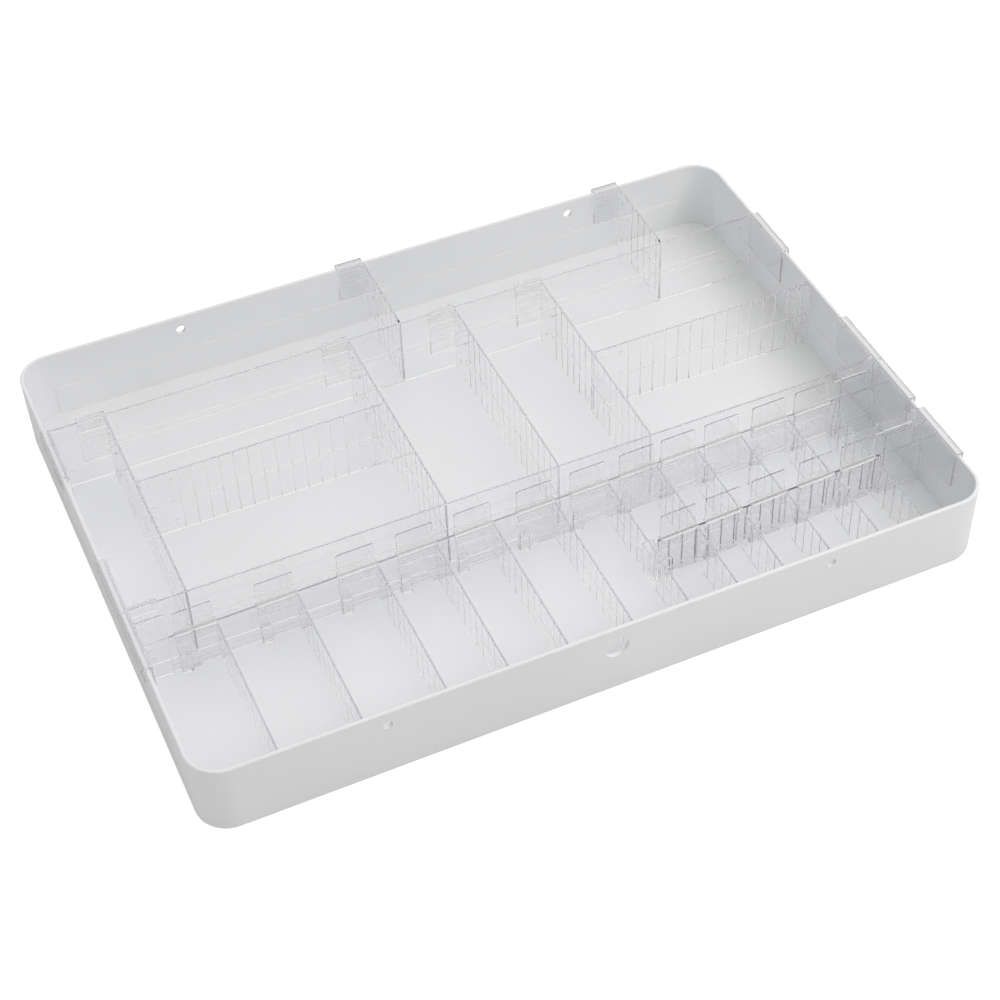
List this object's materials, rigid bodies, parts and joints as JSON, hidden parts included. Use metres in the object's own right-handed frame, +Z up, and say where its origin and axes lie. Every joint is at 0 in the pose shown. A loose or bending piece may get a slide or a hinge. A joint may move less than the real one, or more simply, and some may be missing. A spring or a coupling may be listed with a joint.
{
  "type": "drawer organizer insert",
  "caption": "Shallow moulded tray with rounded corners and a set of clear hook-on dividers that split it into long, square and narrow compartments.",
  "frame": {"origin": "centre of the tray's flat underside", "axes": "+X along the tray's long side to the right, +Y from the front wall to the back wall, +Z up"},
  "size_m": [0.5756, 0.4208, 0.0622],
  "materials": {
    "tray_plastic": "light grey-white injection-moulded polystyrene, fine satin texture",
    "clear_plastic_tall": "water-clear moulded styrene, polished, with score lines",
    "clear_plastic_rail": "water-clear moulded styrene, polished",
    "clear_plastic_low": "water-clear moulded styrene, polished, with score lines"
  },
  "bodies": {
    "tray_body": {"tray": "tray_plastic"},
    "long_divider_back_body": {"long_divider_back": "clear_plastic_tall"},
    "long_divider_middle_body": {"long_divider_middle": "clear_plastic_tall"},
    "low_rail_long_body": {"low_rail_long": "clear_plastic_rail", "rail_cap_left": "clear_plastic_rail", "rail_cap_right": "clear_plastic_rail"},
    "low_rail_short_body": {"low_rail_short": "clear_plastic_rail", "rail_cap_front": "clear_plastic_rail", "rail_end_clip": "clear_plastic_rail"},
    "cross_divider_back_1_body": {"cross_divider_back_1": "clear_plastic_tall"},
    "cross_divider_back_2_body": {"cross_divider_back_2": "clear_plastic_tall"},
    "cross_divider_middle_1_body": {"cross_divider_middle_1": "clear_plastic_tall"},
    "cross_divider_middle_2_body": {"cross_divider_middle_2": "clear_plastic_tall"},
    "cross_divider_middle_3_body": {"cross_divider_middle_3": "clear_plastic_tall"},
    "cross_divider_middle_4_body": {"cross_divider_middle_4": "clear_plastic_tall"},
    "filler_divider_left_body": {"filler_divider_left": "clear_plastic_tall"},
    "filler_divider_right_body": {"filler_divider_right": "clear_plastic_tall"},
    "low_divider_01_body": {"low_divider_01": "clear_plastic_low"},
    "low_divider_02_body": {"low_divider_02": "clear_plastic_low"},
    "low_divider_03_body": {"low_divider_03": "clear_plastic_low"},
    "low_divider_04_body": {"low_divider_04": "clear_plastic_low"},
    "low_divider_05_body": {"low_divider_05": "clear_plastic_low"},
    "low_divider_06_body": {"low_divider_06": "clear_plastic_low"},
    "low_divider_07_body": {"low_divider_07": "clear_plastic_low"},
    "low_divider_08_body": {"low_divider_08": "clear_plastic_low"},
    "low_divider_09_body": {"low_divider_09": "clear_plastic_low"},
    "low_divider_10_body": {"low_divider_10": "clear_plastic_low"},
    "low_divider_11_body": {"low_divider_11": "clear_plastic_low"},
    "low_divider_12_body": {"low_divider_12": "clear_plastic_low"},
    "low_divider_13_body": {"low_divider_13": "clear_plastic_low"},
    "low_divider_14_body": {"low_divider_14": "clear_plastic_low"},
    "low_divider_15_body": {"low_divider_15": "clear_plastic_low"},
    "low_divider_16_body": {"low_divider_16": "clear_plastic_low"},
    "low_divider_17_body": {"low_divider_17": "clear_plastic_low"}
  },
  "joints": [
    {"name": "long_divider_back_lift", "type": "slide", "parent": "tray_body", "child": "long_divider_back_body", "axis": [0, 0, 1], "range_m": [0, 0.07]},
    {"name": "long_divider_middle_lift", "type": "slide", "parent": "tray_body", "child": "long_divider_middle_body", "axis": [0, 0, 1], "range_m": [0, 0.07]},
    {"name": "low_rail_long_lift", "type": "slide", "parent": "long_divider_middle_body", "child": "low_rail_long_body", "axis": [0, 0, 1], "range_m": [0, 0.07]},
    {"name": "low_rail_short_lift", "type": "slide", "parent": "low_divider_07_body", "child": "low_rail_short_body", "axis": [0, 0, 1], "range_m": [0, 0.07]},
    {"name": "cross_divider_back_1_lift", "type": "slide", "parent": "tray_body", "child": "cross_divider_back_1_body", "axis": [0, 0, 1], "range_m": [0, 0.07]},
    {"name": "cross_divider_back_2_lift", "type": "slide", "parent": "tray_body", "child": "cross_divider_back_2_body", "axis": [0, 0, 1], "range_m": [0, 0.07]},
    {"name": "cross_divider_middle_1_lift", "type": "slide", "parent": "long_divider_back_body", "child": "cross_divider_middle_1_body", "axis": [0, 0, 1], "range_m": [0, 0.07]},
    {"name": "cross_divider_middle_2_lift", "type": "slide", "parent": "long_divider_back_body", "child": "cross_divider_middle_2_body", "axis": [0, 0, 1], "range_m": [0, 0.07]},
    {"name": "cross_divider_middle_3_lift", "type": "slide", "parent": "long_divider_back_body", "child": "cross_divider_middle_3_body", "axis": [0, 0, 1], "range_m": [0, 0.07]},
    {"name": "cross_divider_middle_4_lift", "type": "slide", "parent": "long_divider_back_body", "child": "cross_divider_middle_4_body", "axis": [0, 0, 1], "range_m": [0, 0.07]},
    {"name": "filler_divider_left_lift", "type": "slide", "parent": "tray_body", "child": "filler_divider_left_body", "axis": [0, 0, 1], "range_m": [0, 0.07]},
    {"name": "filler_divider_right_lift", "type": "slide", "parent": "tray_body", "child": "filler_divider_right_body", "axis": [0, 0, 1], "range_m": [0, 0.07]},
    {"name": "low_divider_01_lift", "type": "slide", "parent": "low_rail_long_body", "child": "low_divider_01_body", "axis": [0, 0, 1], "range_m": [0, 0.07]},
    {"name": "low_divider_02_lift", "type": "slide", "parent": "low_rail_long_body", "child": "low_divider_02_body", "axis": [0, 0, 1], "range_m": [0, 0.07]},
    {"name": "low_divider_03_lift", "type": "slide", "parent": "low_rail_long_body", "child": "low_divider_03_body", "axis": [0, 0, 1], "range_m": [0, 0.07]},
    {"name": "low_divider_04_lift", "type": "slide", "parent": "low_rail_long_body", "child": "low_divider_04_body", "axis": [0, 0, 1], "range_m": [0, 0.07]},
    {"name": "low_divider_05_lift", "type": "slide", "parent": "low_rail_long_body", "child": "low_divider_05_body", "axis": [0, 0, 1], "range_m": [0, 0.07]},
    {"name": "low_divider_06_lift", "type": "slide", "parent": "low_rail_long_body", "child": "low_divider_06_body", "axis": [0, 0, 1], "range_m": [0, 0.07]},
    {"name": "low_divider_07_lift", "type": "slide", "parent": "low_rail_long_body", "child": "low_divider_07_body", "axis": [0, 0, 1], "range_m": [0, 0.07]},
    {"name": "low_divider_08_lift", "type": "slide", "parent": "low_rail_long_body", "child": "low_divider_08_body", "axis": [0, 0, 1], "range_m": [0, 0.07]},
    {"name": "low_divider_09_lift", "type": "slide", "parent": "low_rail_long_body", "child": "low_divider_09_body", "axis": [0, 0, 1], "range_m": [0, 0.07]},
    {"name": "low_divider_10_lift", "type": "slide", "parent": "low_rail_long_body", "child": "low_divider_10_body", "axis": [0, 0, 1], "range_m": [0, 0.07]},
    {"name": "low_divider_11_lift", "type": "slide", "parent": "low_rail_long_body", "child": "low_divider_11_body", "axis": [0, 0, 1], "range_m": [0, 0.07]},
    {"name": "low_divider_12_lift", "type": "slide", "parent": "low_rail_long_body", "child": "low_divider_12_body", "axis": [0, 0, 1], "range_m": [0, 0.07]},
    {"name": "low_divider_13_lift", "type": "slide", "parent": "low_rail_short_body", "child": "low_divider_13_body", "axis": [0, 0, 1], "range_m": [0, 0.07]},
    {"name": "low_divider_14_lift", "type": "slide", "parent": "low_rail_short_body", "child": "low_divider_14_body", "axis": [0, 0, 1], "range_m": [0, 0.07]},
    {"name": "low_divider_15_lift", "type": "slide", "parent": "low_rail_short_body", "child": "low_divider_15_body", "axis": [0, 0, 1], "range_m": [0, 0.07]},
    {"name": "low_divider_16_lift", "type": "slide", "parent": "low_rail_short_body", "child": "low_divider_16_body", "axis": [0, 0, 1], "range_m": [0, 0.07]},
    {"name": "low_divider_17_lift", "type": "slide", "parent": "low_rail_short_body", "child": "low_divider_17_body", "axis": [0, 0, 1], "range_m": [0, 0.07]}
  ]
}
